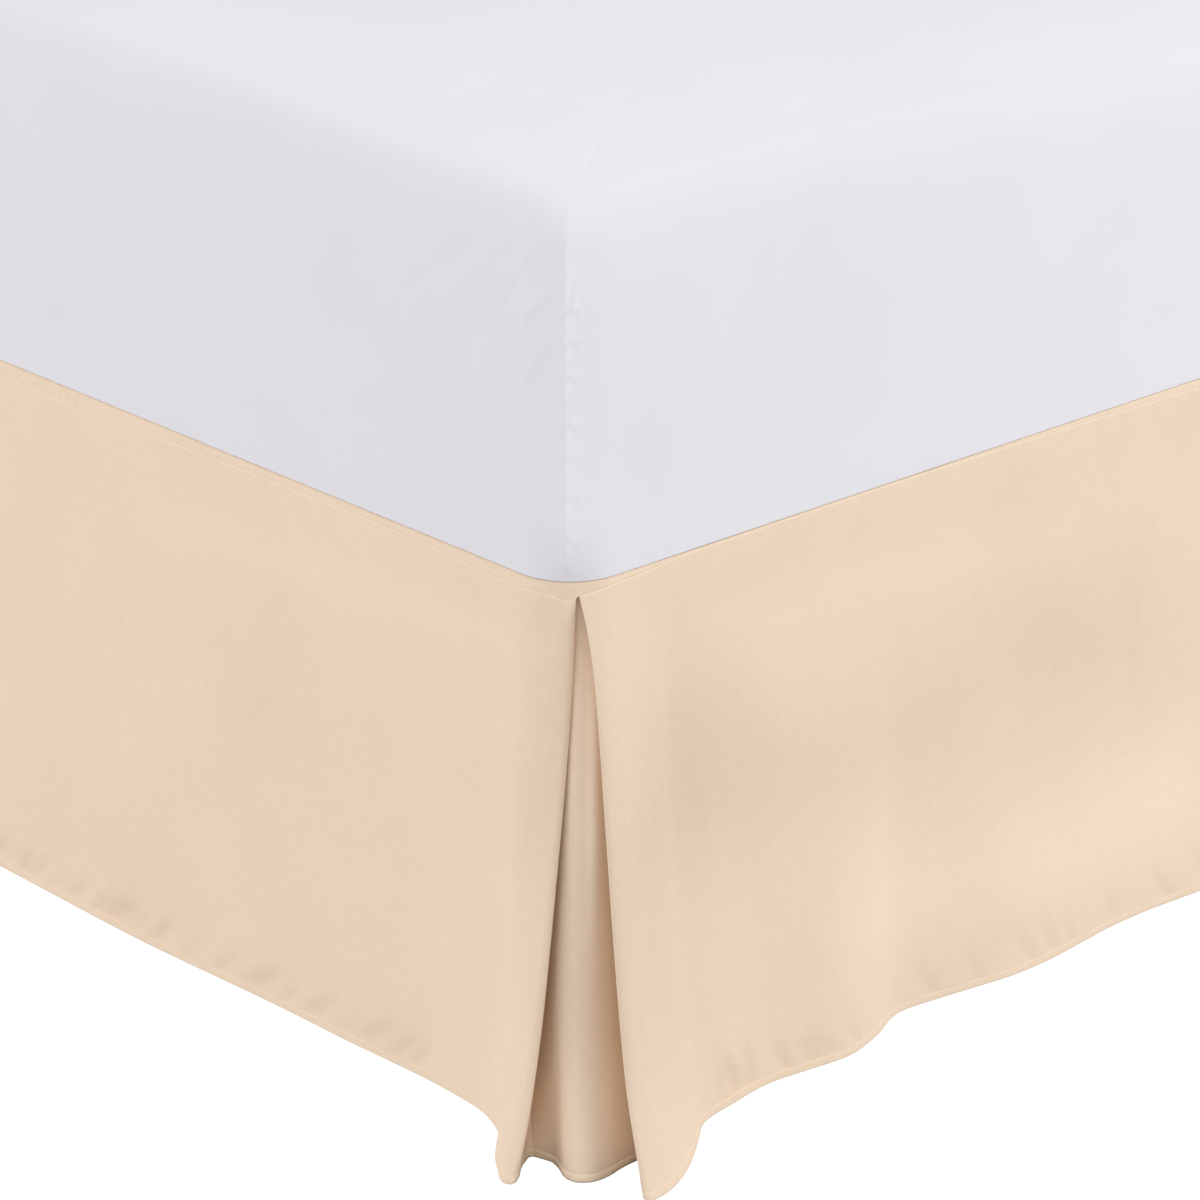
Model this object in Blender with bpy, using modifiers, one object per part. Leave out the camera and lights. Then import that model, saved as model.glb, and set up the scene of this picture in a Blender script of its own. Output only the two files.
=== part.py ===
# A tailored bed skirt with inverted corner pleats, hung on a queen size bed.
#
# The skirt is a flat deck that lies between mattress and box spring, and three drop panels
# sewn to it: one across the foot and one along each side. At each foot corner the cloth is
# laid in an inverted pleat. Its two front folds meet at the seam and swing open to the hem.
# Metres, +Z up, +Y towards the head of the bed, origin on the floor under the bed's middle.

import math

import bmesh
import bpy
from mathutils import Matrix, Vector

# The bed that carries the skirt
BED_WIDTH = 1.524
BED_LENGTH = 2.032
DECK_TOP = 0.406
MATTRESS_EDGE_HEIGHT = 0.250
MATTRESS_CROWN = 0.018
MATTRESS_BULGE = 0.006
MATTRESS_TOP_RADIUS = 0.030
MATTRESS_BOTTOM_RADIUS = 0.010
MATTRESS_RINGS = (0.25, 0.5, 0.75)
MATTRESS_CROWN_RINGS = ((0.88, 0.5), (0.75, 0.35), (0.5, 0.15))
CORNER_RADIUS = 0.038
BOX_SPRING_HEIGHT = 0.2286
BOX_SPRING_INSET = 0.004
CONTACT_GAP = 0.0003

# The cloth
SHEET = 0.0012
LAYER_PITCH = 0.0026
FACE_LAYER = 2 * LAYER_PITCH
SEAM_DROP = 0.0115
HEM_CLEARANCE = 0.005
TIP_CLEARANCE = 0.003
DECK_EDGE_RADIUS = 0.006
HEAD_SETBACK = 0.010

# The bed stands a little towards the head, so that the flared pleats at the foot and the
# plain head end lie equally far from the origin.
FOOT_PLANE = -0.981
SIDE_PLANE = BED_WIDTH / 2
HEAD_PLANE = FOOT_PLANE + BED_LENGTH
BED_MIDDLE = (FOOT_PLANE + HEAD_PLANE) / 2

# The steel bed frame
RAIL_LEG = 0.038
RAIL_THICKNESS = 0.003
RAIL_SPACING = 1.36
RAIL_LENGTH = 1.88
CROSS_RAIL_PLACES = (-0.78, 0.0, 0.78)
LEG_RADIUS = 0.0135
GLIDE_RADIUS = 0.028
GLIDE_HEIGHT = 0.030

# The pleat at the left foot corner swings open a little less than the one at the right.
LEFT_SWING = 0.92

MM = 0.001

# Rows of a wave table: distance of a crest or trough from the foot corner along the panel,
# and how far the hem stands out from the bed there, both in millimetres.
FOOT_WAVES = (
    (71, 15), (118, 12), (244, 16), (470, 24), (617, 23), (760, 16), (890, 25),
    (1010, 15), (1140, 24), (1280, 14), (1400, 12), (1453, 15),
)
RIGHT_WAVES = (
    (84, 43), (150, 32), (236, 40), (302, 16), (426, 30), (539, 21), (660, 27), (790, 17),
    (930, 30), (1060, 19), (1210, 27), (1350, 16), (1490, 29), (1640, 19), (1800, 27),
    (1930, 18), (2032, 22),
)
LEFT_WAVES = (
    (84, 38), (170, 26), (260, 34), (345, 18), (470, 27), (600, 16), (750, 30), (880, 20),
    (1020, 26), (1170, 15), (1330, 29), (1470, 18), (1610, 25), (1760, 17), (1900, 26),
    (2032, 20),
)

# Rows of a pleat table, in millimetres, seen at the right foot corner: the place along the
# seam from the middle of the rounded corner (towards the side panel is positive), the layer
# (0 underlay, 1 return, 2 face), the hem's place as (out past the side plane, out past the
# foot plane), and how early the cloth swings away from the bed, from 0 late to 1 early.
# The mouth is 6 mm past the middle, and each return runs 50 mm back from it.
FOOT_PLEAT = (
    (-63.0, 2.0, -71.0, 15.0, 0.0),
    (-50.0, 2.0, -54.0, 20.0, 0.0),
    (-40.0, 2.0, -38.0, 28.0, 0.0),
    (-29.0, 2.0, -26.0, 40.5, 0.0),
    (-18.0, 2.0, -14.0, 52.0, 0.0),
    (-7.0, 2.0, 0.0, 62.0, 0.0),
    (1.0, 2.0, 10.0, 69.0, 0.0),
    (4.0, 1.8, 15.5, 71.0, 0.0),
    (5.0, 1.5, 19.5, 69.5, 0.0),
    (4.0, 1.2, 19.5, 65.5, 0.0),
    (-2.0, 1.0, 15.0, 58.0, 0.0),
    (-16.0, 1.0, 9.0, 48.0, 0.0),
    (-30.0, 1.0, 6.5, 39.5, 0.0),
    (-44.6, 0.8, 6.5, 32.5, 0.0),
    (-45.6, 0.5, 8.5, 29.6, 0.0),
    (-44.6, 0.2, 12.0, 28.6, 0.0),
    (-34.0, 0.0, 19.0, 29.0, 0.0),
    (-20.0, 0.0, 28.0, 32.0, 0.0),
    (-6.0, 0.0, 38.0, 36.5, 0.0),
    (8.0, 0.0, 48.0, 35.5, 0.0),
    (19.0, 0.0, 54.5, 27.0, 0.0),
    (30.0, 0.0, 55.5, 14.0, 0.0),
    (42.0, 0.0, 53.0, 0.0, 0.0),
    (54.6, 0.2, 52.6, -16.0, 0.0),
    (55.6, 0.5, 53.9, -17.4, 0.0),
    (54.8, 0.8, 55.4, -16.3, 0.0),
)
SIDE_PLEAT = (
    (53.4, 1.0, 56.8, -14.8, 0.0),
    (42.0, 1.0, 66.0, -6.0, 0.25),
    (28.0, 1.0, 78.0, 4.0, 0.6),
    (14.0, 1.0, 89.0, 12.5, 0.9),
    (8.0, 1.2, 94.0, 16.0, 1.0),
    (7.0, 1.5, 97.5, 16.0, 1.0),
    (8.0, 1.8, 99.0, 12.0, 1.0),
    (13.0, 2.0, 98.0, 3.0, 0.9),
    (22.0, 2.0, 94.5, -9.0, 0.7),
    (32.0, 2.0, 88.0, -23.0, 0.5),
    (43.0, 2.0, 79.0, -38.0, 0.35),
    (54.0, 2.0, 68.0, -53.0, 0.2),
    (65.0, 2.0, 56.0, -68.0, 0.1),
    (76.0, 2.0, 43.5, -84.0, 0.0),
)

# Share of the drop, and the share of its swing that the cloth has made there, for cloth
# that swings late and cloth that swings early.
LATE_SWING = ((0.0, 0.0), (0.10, 0.03), (0.25, 0.11), (0.50, 0.33), (0.75, 0.63), (1.0, 1.0))
EARLY_SWING = ((0.0, 0.0), (0.06, 0.13), (0.14, 0.23), (0.36, 0.39), (0.62, 0.57), (1.0, 1.0))
DROP_ROWS = (0.0, 0.06, 0.14, 0.28, 0.44, 0.60, 0.76, 0.90, 1.0)
COLUMN_SPACING = 0.036


# Scene and materials

def clear_objects():
    for thing in list(bpy.data.objects):
        bpy.data.objects.remove(thing, do_unlink=True)


def new_collection(name):
    collection = bpy.data.collections.new(name)
    bpy.context.scene.collection.children.link(collection)
    return collection


def finish(name, colour, roughness, metallic=0.0):
    material = bpy.data.materials.new(name)
    material.use_nodes = True
    shader = material.node_tree.nodes["Principled BSDF"]
    shader.inputs["Base Color"].default_value = (*colour, 1.0)
    shader.inputs["Roughness"].default_value = roughness
    shader.inputs["Metallic"].default_value = metallic
    return material


def add_mesh(name, shape, collection, material):
    mesh = bpy.data.meshes.new(name)
    shape.to_mesh(mesh)
    shape.free()
    thing = bpy.data.objects.new(name, mesh)
    mesh.materials.append(material)
    collection.objects.link(thing)
    return thing


# Shared shapes

def box_mesh(size, middle):
    shape = bmesh.new()
    bmesh.ops.create_cube(shape, size=1.0)
    bmesh.ops.scale(shape, vec=Vector(size), verts=shape.verts)
    bmesh.ops.translate(shape, vec=Vector(middle), verts=shape.verts)
    return shape


def round_edges(shape, edges, radius, segments):
    bmesh.ops.bevel(
        shape, geom=edges, offset=radius, offset_type="OFFSET", affect="EDGES",
        segments=segments, profile=0.5, material=-1, clamp_overlap=True,
    )


def upright_edges(shape):
    return [e for e in shape.edges if abs(e.verts[0].co.z - e.verts[1].co.z) > 0.004]


def level_edges(shape, height):
    return [e for e in shape.edges if all(abs(v.co.z - height) < 1e-5 for v in e.verts)]


def read_table(table, place):
    """Value of a two-column table at a place, level at each row and smooth between rows."""
    if place <= table[0][0]:
        return table[0][1]
    for (start, low), (end, high) in zip(table, table[1:]):
        if place <= end:
            part = (place - start) / (end - start)
            return low + (high - low) * part * part * (3 - 2 * part)
    return table[-1][1]


def read_line(table, place):
    """Value of a two-column table at a place, straight between rows."""
    for (start, low), (end, high) in zip(table, table[1:]):
        if place <= end:
            return low + (high - low) * (place - start) / (end - start)
    return table[-1][1]


# The skirt's cloth

def seam_place(along, layer):
    """Plan place on the seam line at the right foot corner, for a layer of the pleat."""
    offset = layer * LAYER_PITCH
    half_arc = CORNER_RADIUS * math.pi / 4
    turn = math.pi / 4 + max(-half_arc, min(half_arc, along)) / CORNER_RADIUS
    past = along - max(-half_arc, min(half_arc, along))
    x = -CORNER_RADIUS + (CORNER_RADIUS + offset) * math.sin(turn)
    y = CORNER_RADIUS - (CORNER_RADIUS + offset) * math.cos(turn)
    if past < 0:
        x += past
    else:
        y += past
    return SIDE_PLANE + x, FOOT_PLANE + y


def pleat_columns(table, swing=1.0):
    """Columns of cloth for a pleat table: seam place, hem place, earliness and clearance."""
    columns = []
    for along, layer, out_side, out_foot, early in table:
        seam = seam_place(along * MM, layer)
        hem = (SIDE_PLANE + out_side * MM, FOOT_PLANE - out_foot * MM)
        stand = max(out_side, out_foot) / 100
        clearance = HEM_CLEARANCE + (TIP_CLEARANCE - HEM_CLEARANCE) * max(0.0, stand)
        hem = tuple(s + (h - s) * swing for s, h in zip(seam, hem))
        columns.append((seam, hem, early, clearance))
    return columns


def mirrored(columns):
    return [((-s[0], s[1]), (-h[0], h[1]), early, low) for s, h, early, low in columns]


def foot_face_columns():
    start = FOOT_WAVES[0][0] * MM
    end = FOOT_WAVES[-1][0] * MM
    count = round((end - start) / COLUMN_SPACING)
    columns = []
    for step in range(1, count):
        place = start + (end - start) * step / count
        x = SIDE_PLANE - place
        out = read_table(FOOT_WAVES, place / MM) * MM
        columns.append(((x, FOOT_PLANE - FACE_LAYER), (x, FOOT_PLANE - out), 0.0, HEM_CLEARANCE))
    return columns


def side_face_columns(waves):
    start = waves[0][0] * MM
    end = BED_LENGTH - HEAD_SETBACK
    count = round((end - start) / COLUMN_SPACING)
    columns = []
    for step in range(1, count + 1):
        place = start + (end - start) * step / count
        y = FOOT_PLANE + place
        out = read_table(waves, place / MM) * MM
        columns.append(((SIDE_PLANE + FACE_LAYER, y), (SIDE_PLANE + out, y), 0.0, HEM_CLEARANCE))
    return columns


def cloth_point(column, share):
    seam, hem, early, clearance = column
    late_swing = read_line(LATE_SWING, share)
    swing = late_swing + (read_line(EARLY_SWING, share) - late_swing) * early
    seam_height = DECK_TOP - SEAM_DROP
    height = seam_height + (clearance - seam_height) * share
    return (
        seam[0] + (hem[0] - seam[0]) * swing,
        seam[1] + (hem[1] - seam[1]) * swing,
        height,
    )


def hang_panel(name, columns, collection, material):
    """A grid with a column for each place along the seam and a row for each share of the drop."""
    shape = bmesh.new()
    across = len(columns) - 1
    down = len(DROP_ROWS) - 1
    bmesh.ops.create_grid(shape, x_segments=across, y_segments=down, size=1.0)
    for vert in shape.verts:
        column = columns[round((vert.co.x + 1) / 2 * across)]
        share = DROP_ROWS[round((1 - vert.co.y) / 2 * down)]
        vert.co = cloth_point(column, share)
    bmesh.ops.recalc_face_normals(shape, faces=shape.faces)
    panel = add_mesh(name, shape, collection, material)
    thicken = panel.modifiers.new("cloth thickness", "SOLIDIFY")
    thicken.thickness = SHEET
    thicken.offset = 0.0
    return panel


def make_deck(collection, material):
    """The deck lies on the box spring and turns down over its edges to the seam."""
    rim = FACE_LAYER + SHEET / 2
    depth = SEAM_DROP - CONTACT_GAP
    head = HEAD_PLANE - HEAD_SETBACK
    foot = FOOT_PLANE - rim
    size = (BED_WIDTH + 2 * rim, head - foot, depth)
    shape = box_mesh(size, (0.0, (head + foot) / 2, DECK_TOP - depth / 2))
    foot_corners = [e for e in upright_edges(shape) if e.verts[0].co.y < 0]
    round_edges(shape, foot_corners, CORNER_RADIUS + rim, 6)
    open_faces = [f for f in shape.faces if f.normal.z < -0.9 or f.normal.y > 0.9]
    bmesh.ops.delete(shape, geom=open_faces, context="FACES_ONLY")
    top_edges = [e for e in level_edges(shape, DECK_TOP) if len(e.link_faces) == 2]
    round_edges(shape, top_edges, DECK_EDGE_RADIUS, 3)
    deck = add_mesh("deck", shape, collection, material)
    thicken = deck.modifiers.new("cloth thickness", "SOLIDIFY")
    thicken.thickness = SHEET
    thicken.offset = -1.0
    return deck


# The bed

def make_mattress(collection, material):
    height = MATTRESS_EDGE_HEIGHT
    bottom = DECK_TOP + CONTACT_GAP
    top = bottom + height
    shape = box_mesh((BED_WIDTH, BED_LENGTH, height), (0.0, BED_MIDDLE, bottom + height / 2))
    round_edges(shape, upright_edges(shape), CORNER_RADIUS, 5)
    for share in MATTRESS_RINGS:
        bmesh.ops.bisect_plane(
            shape, geom=shape.verts[:] + shape.edges[:] + shape.faces[:],
            plane_co=(0.0, 0.0, bottom + height * share), plane_no=(0.0, 0.0, 1.0),
        )
    for vert in shape.verts:
        bulge = 1 + MATTRESS_BULGE * math.sin(math.pi * (vert.co.z - bottom) / height) / SIDE_PLANE
        vert.co.x *= bulge
        vert.co.y = BED_MIDDLE + (vert.co.y - BED_MIDDLE) * bulge
    round_edges(shape, level_edges(shape, top), MATTRESS_TOP_RADIUS, 4)
    round_edges(shape, level_edges(shape, bottom), MATTRESS_BOTTOM_RADIUS, 2)
    shape.normal_update()
    top_face = max(shape.faces, key=lambda f: f.calc_center_median().z)
    for shrink, rise in MATTRESS_CROWN_RINGS:
        bmesh.ops.inset_region(shape, faces=[top_face], thickness=0.0, depth=0.0)
        for vert in top_face.verts:
            vert.co.x *= shrink
            vert.co.y = BED_MIDDLE + (vert.co.y - BED_MIDDLE) * shrink
            vert.co.z += MATTRESS_CROWN * rise
    return add_mesh("mattress", shape, collection, material)


def make_box_spring(collection, material):
    top = DECK_TOP - SHEET - CONTACT_GAP
    inset = BOX_SPRING_INSET
    size = (BED_WIDTH - 2 * inset, BED_LENGTH - 2 * inset, BOX_SPRING_HEIGHT)
    shape = box_mesh(size, (0.0, BED_MIDDLE, top - BOX_SPRING_HEIGHT / 2))
    round_edges(shape, upright_edges(shape), CORNER_RADIUS - inset, 4)
    round_edges(shape, level_edges(shape, top), 0.006, 2)
    round_edges(shape, level_edges(shape, top - BOX_SPRING_HEIGHT), 0.006, 2)
    return add_mesh("box_spring", shape, collection, material)


def make_angle_rail(name, length, corner, turn, collection, material):
    """A steel angle along +Y from its middle, one leg level and one leg down."""
    outline = bpy.data.curves.new(name, "CURVE")
    outline.dimensions = "2D"
    outline.fill_mode = "BOTH"
    outline.extrude = length / 2
    leg = RAIL_LEG
    wall = RAIL_THICKNESS
    points = ((0, 0), (leg, 0), (leg, -wall), (wall, -wall), (wall, -leg), (0, -leg))
    spline = outline.splines.new("POLY")
    spline.points.add(len(points) - 1)
    for target, (x, y) in zip(spline.points, points):
        target.co = (x, y, 0.0, 1.0)
    spline.use_cyclic_u = True
    guide = bpy.data.objects.new(name + "_outline", outline)
    bpy.context.scene.collection.objects.link(guide)
    bpy.context.view_layer.update()
    solid = bpy.data.meshes.new_from_object(guide.evaluated_get(bpy.context.evaluated_depsgraph_get()))
    bpy.data.objects.remove(guide, do_unlink=True)
    shape = bmesh.new()
    shape.from_mesh(solid)
    bmesh.ops.remove_doubles(shape, verts=shape.verts, dist=0.00001)
    upright = Matrix.Rotation(math.pi / 2, 4, "X")
    place = Matrix.Translation(Vector(corner)) @ Matrix.Rotation(turn, 4, "Z") @ upright
    bmesh.ops.transform(shape, matrix=place, verts=shape.verts)
    bmesh.ops.recalc_face_normals(shape, faces=shape.faces)
    return add_mesh(name, shape, collection, material)


def make_round_piece(name, radii, bottom, top, place, collection, material):
    shape = bmesh.new()
    bmesh.ops.create_cone(
        shape, cap_ends=True, segments=20, radius1=radii[0], radius2=radii[1], depth=top - bottom,
    )
    bmesh.ops.translate(shape, vec=(place[0], place[1], (bottom + top) / 2), verts=shape.verts)
    return add_mesh(name, shape, collection, material)


def make_bed_frame(collection, steel, plastic):
    rail_top = DECK_TOP - SHEET - CONTACT_GAP - BOX_SPRING_HEIGHT - CONTACT_GAP
    rail_half = RAIL_SPACING / 2
    for side, turn in (("left", 0.0), ("right", math.pi)):
        x = -rail_half if side == "left" else rail_half
        corner = (x, BED_MIDDLE, rail_top)
        make_angle_rail("rail_" + side, RAIL_LENGTH, corner, turn, collection, steel)
    cross_length = RAIL_SPACING - 2 * (RAIL_THICKNESS + CONTACT_GAP)
    cross_top = rail_top - RAIL_THICKNESS - CONTACT_GAP
    for number, place in enumerate(CROSS_RAIL_PLACES, start=1):
        corner = (0.0, BED_MIDDLE + place, cross_top)
        name = "cross_rail_%d" % number
        make_angle_rail(name, cross_length, corner, math.pi / 2, collection, steel)
    stand_x = rail_half - RAIL_THICKNESS - CONTACT_GAP - LEG_RADIUS
    stands = [(sx * stand_x, BED_MIDDLE + place - 0.05) for place in CROSS_RAIL_PLACES for sx in (-1, 1)]
    for number, place in enumerate(stands, start=1):
        top = rail_top - RAIL_THICKNESS - CONTACT_GAP
        make_round_piece(
            "leg_%d" % number, (LEG_RADIUS, LEG_RADIUS), GLIDE_HEIGHT + CONTACT_GAP, top, place,
            collection, steel,
        )
        make_round_piece(
            "glide_%d" % number, (GLIDE_RADIUS, GLIDE_RADIUS * 0.7), 0.0, GLIDE_HEIGHT, place,
            collection, plastic,
        )


def main():
    clear_objects()
    bed = new_collection("bed_skirt_on_bed")
    skirt_cloth = finish("skirt cloth", (0.80, 0.62, 0.46), 0.85)
    deck_cloth = finish("deck cloth", (0.80, 0.62, 0.46), 0.85)
    sheet_cotton = finish("fitted sheet cotton", (0.76, 0.75, 0.80), 0.85)
    ticking = finish("box spring ticking", (0.72, 0.72, 0.72), 0.9)
    steel = finish("enamelled steel", (0.06, 0.05, 0.045), 0.45, 0.0)
    plastic = finish("moulded plastic glide", (0.03, 0.03, 0.03), 0.5)

    make_mattress(bed, sheet_cotton)
    make_box_spring(bed, ticking)
    make_deck(bed, deck_cloth)

    left_pleat = list(reversed(mirrored(pleat_columns(FOOT_PLEAT, LEFT_SWING))))
    face = list(reversed(foot_face_columns()))
    hang_panel("foot_panel", left_pleat + face + pleat_columns(FOOT_PLEAT), bed, skirt_cloth)
    right = pleat_columns(SIDE_PLEAT) + side_face_columns(RIGHT_WAVES)
    left = pleat_columns(SIDE_PLEAT, LEFT_SWING) + side_face_columns(LEFT_WAVES)
    hang_panel("side_panel_right", right, bed, skirt_cloth)
    hang_panel("side_panel_left", mirrored(left), bed, skirt_cloth)

    make_bed_frame(bed, steel, plastic)


main()
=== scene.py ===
# %% [markdown]
# A tailored bed skirt, in place on a bed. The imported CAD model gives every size: the deck that
# lies under the mattress, the three drop panels, the mattress, the box spring and the steel
# frame. This file dresses it. It is loaded first, because each piece below is made to fit it.

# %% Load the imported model
import math

import bmesh
import bpy
import numpy as np
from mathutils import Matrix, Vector, noise


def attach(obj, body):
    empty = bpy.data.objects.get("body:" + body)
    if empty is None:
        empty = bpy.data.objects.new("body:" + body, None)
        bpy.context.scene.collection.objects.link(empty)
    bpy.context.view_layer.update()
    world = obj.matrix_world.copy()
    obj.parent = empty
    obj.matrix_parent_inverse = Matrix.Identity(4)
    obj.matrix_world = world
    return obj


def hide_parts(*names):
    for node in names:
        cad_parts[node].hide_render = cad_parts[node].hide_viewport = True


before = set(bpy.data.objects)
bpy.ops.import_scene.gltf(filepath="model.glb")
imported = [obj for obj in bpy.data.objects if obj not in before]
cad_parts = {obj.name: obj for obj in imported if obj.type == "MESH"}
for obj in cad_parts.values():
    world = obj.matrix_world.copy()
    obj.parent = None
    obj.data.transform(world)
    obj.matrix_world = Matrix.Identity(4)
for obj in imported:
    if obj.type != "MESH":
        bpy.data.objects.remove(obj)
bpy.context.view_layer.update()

# %% [markdown]
# The camera stands where the photographer's did: 1.6 m above the floor, in front of the corner,
# with a long lens that looks 22 degrees down.

# %% Camera
CAMERA_PLACE = (3.0362, -3.0254, 1.6282)
CAMERA_DOWN = 21.91
CAMERA_ROUND = 47.64
CAMERA_LENS = 152.64



def add_object(name, data):
    """An object in the scene that shows the data."""
    made = bpy.data.objects.new(name, data)
    bpy.context.scene.collection.objects.link(made)
    return made


camera_data = bpy.data.cameras.new("camera")
camera_data.lens = CAMERA_LENS
camera_data.sensor_width = 36.0
camera = add_object("camera", camera_data)
camera.location = CAMERA_PLACE
camera.rotation_euler = (math.radians(90 - CAMERA_DOWN), 0.0, math.radians(CAMERA_ROUND))
bpy.context.scene.camera = camera
print("camera", CAMERA_PLACE, "lens", CAMERA_LENS)

# %% [markdown]
# These sizes are the CAD model's own. The bed's edges are planes, and every place on the skirt
# is told from the sharp corner where the two planes would meet.

# %% Sizes shared with the CAD model
MM = 0.001
SIDE_PLANE = 0.762
FOOT_PLANE = -0.981
HEAD_PLANE = 1.051
BED_MIDDLE = (FOOT_PLANE + HEAD_PLANE) / 2
DECK_TOP = 0.406
SEAM_HEIGHT = 0.3945
HEAD_SETBACK = 0.010
BED_LENGTH = HEAD_PLANE - FOOT_PLANE
CORNER_RADIUS = 0.038
LAYER_PITCH = 0.0026
FACE_LAYER = 2 * LAYER_PITCH
HEM_CLEARANCE = 0.005
TIP_CLEARANCE = 0.003
CLOTH_THICKNESS = 0.0005
LEFT_SWING = 0.92
COLUMN_SPACING = 0.036

FOOT_WAVES = (
    (71, 15), (118, 12), (244, 16), (470, 24), (617, 23), (760, 16), (890, 25),
    (1010, 15), (1140, 24), (1280, 14), (1400, 12), (1453, 15),
)
RIGHT_WAVES = (
    (84, 43), (150, 32), (236, 40), (302, 16), (426, 30), (539, 21), (660, 27), (790, 17),
    (930, 30), (1060, 19), (1210, 27), (1350, 16), (1490, 29), (1640, 19), (1800, 27),
    (1930, 18), (2032, 22),
)
LEFT_WAVES = (
    (84, 38), (170, 26), (260, 34), (345, 18), (470, 27), (600, 16), (750, 30), (880, 20),
    (1020, 26), (1170, 15), (1330, 29), (1470, 18), (1610, 25), (1760, 17), (1900, 26),
    (2032, 20),
)
print("drop of the skirt:", round(SEAM_HEIGHT - HEM_CLEARANCE, 4), "m")

# %% [markdown]
# The pleat is a path through the layers of cloth, seen from above: the face runs to the mouth,
# turns back as the return, and turns again as the underlay behind both. A row gives the place
# along the seam, the layer, the hem's stand-out from both bed planes, and how early the cloth
# swings away from the bed (0 if it is left out). The same rows shape the CAD solids. The swing
# tables give the share of the swing at each share of the drop.

# %% Pleat tables, in millimetres
FOOT_PLEAT = (
    (-63, 2, -71, 15), (-50, 2, -54, 20), (-40, 2, -38, 28), (-29, 2, -26, 40.5),
    (-18, 2, -14, 52), (-7, 2, 0, 62), (1, 2, 10, 69), (4, 1.8, 15.5, 71),
    (5, 1.5, 19.5, 69.5), (4, 1.2, 19.5, 65.5), (-2, 1, 15, 58), (-16, 1, 9, 48),
    (-30, 1, 6.5, 39.5), (-44.6, 0.8, 6.5, 32.5), (-45.6, 0.5, 8.5, 29.6), (-44.6, 0.2, 12, 28.6),
    (-34, 0, 19, 29), (-20, 0, 28, 32), (-6, 0, 38, 36.5), (8, 0, 48, 35.5),
    (19, 0, 54.5, 27), (30, 0, 55.5, 14), (42, 0, 53, 0), (54.6, 0.2, 52.6, -16),
    (55.6, 0.5, 53.9, -17.4), (54.8, 0.8, 55.4, -16.3),
)
SIDE_PLEAT = (
    (53.4, 1, 56.8, -14.8, 0), (42, 1, 66, -6, 0.25), (28, 1, 78, 4, 0.6),
    (14, 1, 89, 12.5, 0.9), (8, 1.2, 94, 16, 1), (7, 1.5, 97.5, 16, 1),
    (8, 1.8, 99, 12, 1), (13, 2, 98, 3, 0.9), (22, 2, 94.5, -9, 0.7),
    (32, 2, 88, -23, 0.5), (43, 2, 79, -38, 0.35), (54, 2, 68, -53, 0.2),
    (65, 2, 56, -68, 0.1), (76, 2, 43.5, -84, 0),
)
LATE_SWING = ((0, 0), (0.1, 0.03), (0.25, 0.11), (0.5, 0.31), (0.75, 0.55), (0.9, 0.77), (1, 1))
EARLY_SWING = ((0, 0), (0.06, 0.13), (0.14, 0.23), (0.36, 0.37), (0.62, 0.535), (0.82, 0.7),
               (0.93, 0.865), (1, 1))
print("pleat rows:", len(FOOT_PLEAT), "at the foot and", len(SIDE_PLEAT), "at the side")

# %% [markdown]
# Cloth has no corners between two measured places, so every table is read as a smooth curve: a
# centripetal Catmull-Rom spline, which goes through each row and never loops.

# %% Smooth curves through tables
def smooth_steps(points, counts):
    """A smooth curve through the rows of points, with a number of steps for each gap."""
    points = np.array(points, dtype=float)
    gaps = np.sqrt(np.maximum(np.linalg.norm(np.diff(points[:, :4], axis=0), axis=1), 1e-9))
    slopes = np.diff(points, axis=0) / gaps[:, None]
    tangents = np.empty_like(points)
    weight = (gaps[1:] / (gaps[:-1] + gaps[1:]))[:, None]
    tangents[1:-1] = slopes[:-1] * weight + slopes[1:] * (1 - weight)
    tangents[0] = slopes[0]
    tangents[-1] = slopes[-1]
    pieces = []
    for row, count in enumerate(counts):
        t = (np.arange(count) / count)[:, None]
        width = gaps[row]
        pieces.append(
            (2 * t**3 - 3 * t**2 + 1) * points[row] + (t**3 - 2 * t**2 + t) * width * tangents[row]
            + (3 * t**2 - 2 * t**3) * points[row + 1] + (t**3 - t**2) * width * tangents[row + 1]
        )
    pieces.append(points[-1:])
    return np.concatenate(pieces)


def read_table(table, place):
    """Values of a two-column table, level at each row and smooth between rows."""
    rows = np.array(table, dtype=float)
    place = np.clip(np.asarray(place, dtype=float), rows[0, 0], rows[-1, 0])
    row = np.clip(np.searchsorted(rows[:, 0], place, side="right") - 1, 0, len(rows) - 2)
    part = (place - rows[row, 0]) / (rows[row + 1, 0] - rows[row, 0])
    return rows[row, 1] + (rows[row + 1, 1] - rows[row, 1]) * part * part * (3 - 2 * part)


def read_curve(table, place):
    """Values of a two-column table as one smooth curve that keeps its slope at each row."""
    fine = smooth_steps([(x, y, 0.0, 0.0) for x, y in table], [24] * (len(table) - 1))
    return np.interp(place, fine[:, 0], fine[:, 1])


print("half way down, late cloth has swung", round(float(read_curve(LATE_SWING, 0.5)), 3))

# %% [markdown]
# A panel is first a row of columns. A column knows where the cloth leaves the seam and where it
# reaches the hem. The rounded corner of the bed turns the seam, so a place on it is an angle.

# %% Columns of cloth
def seam_place(along, layer):
    """Plan place on the seam line at the right foot corner, for a layer of the pleat."""
    offset = layer * LAYER_PITCH
    half_arc = CORNER_RADIUS * math.pi / 4
    held = max(-half_arc, min(half_arc, along))
    turn = math.pi / 4 + held / CORNER_RADIUS
    x = -CORNER_RADIUS + (CORNER_RADIUS + offset) * math.sin(turn) + min(0.0, along - held)
    y = CORNER_RADIUS - (CORNER_RADIUS + offset) * math.cos(turn) + max(0.0, along - held)
    return SIDE_PLANE + x, FOOT_PLANE + y


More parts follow.
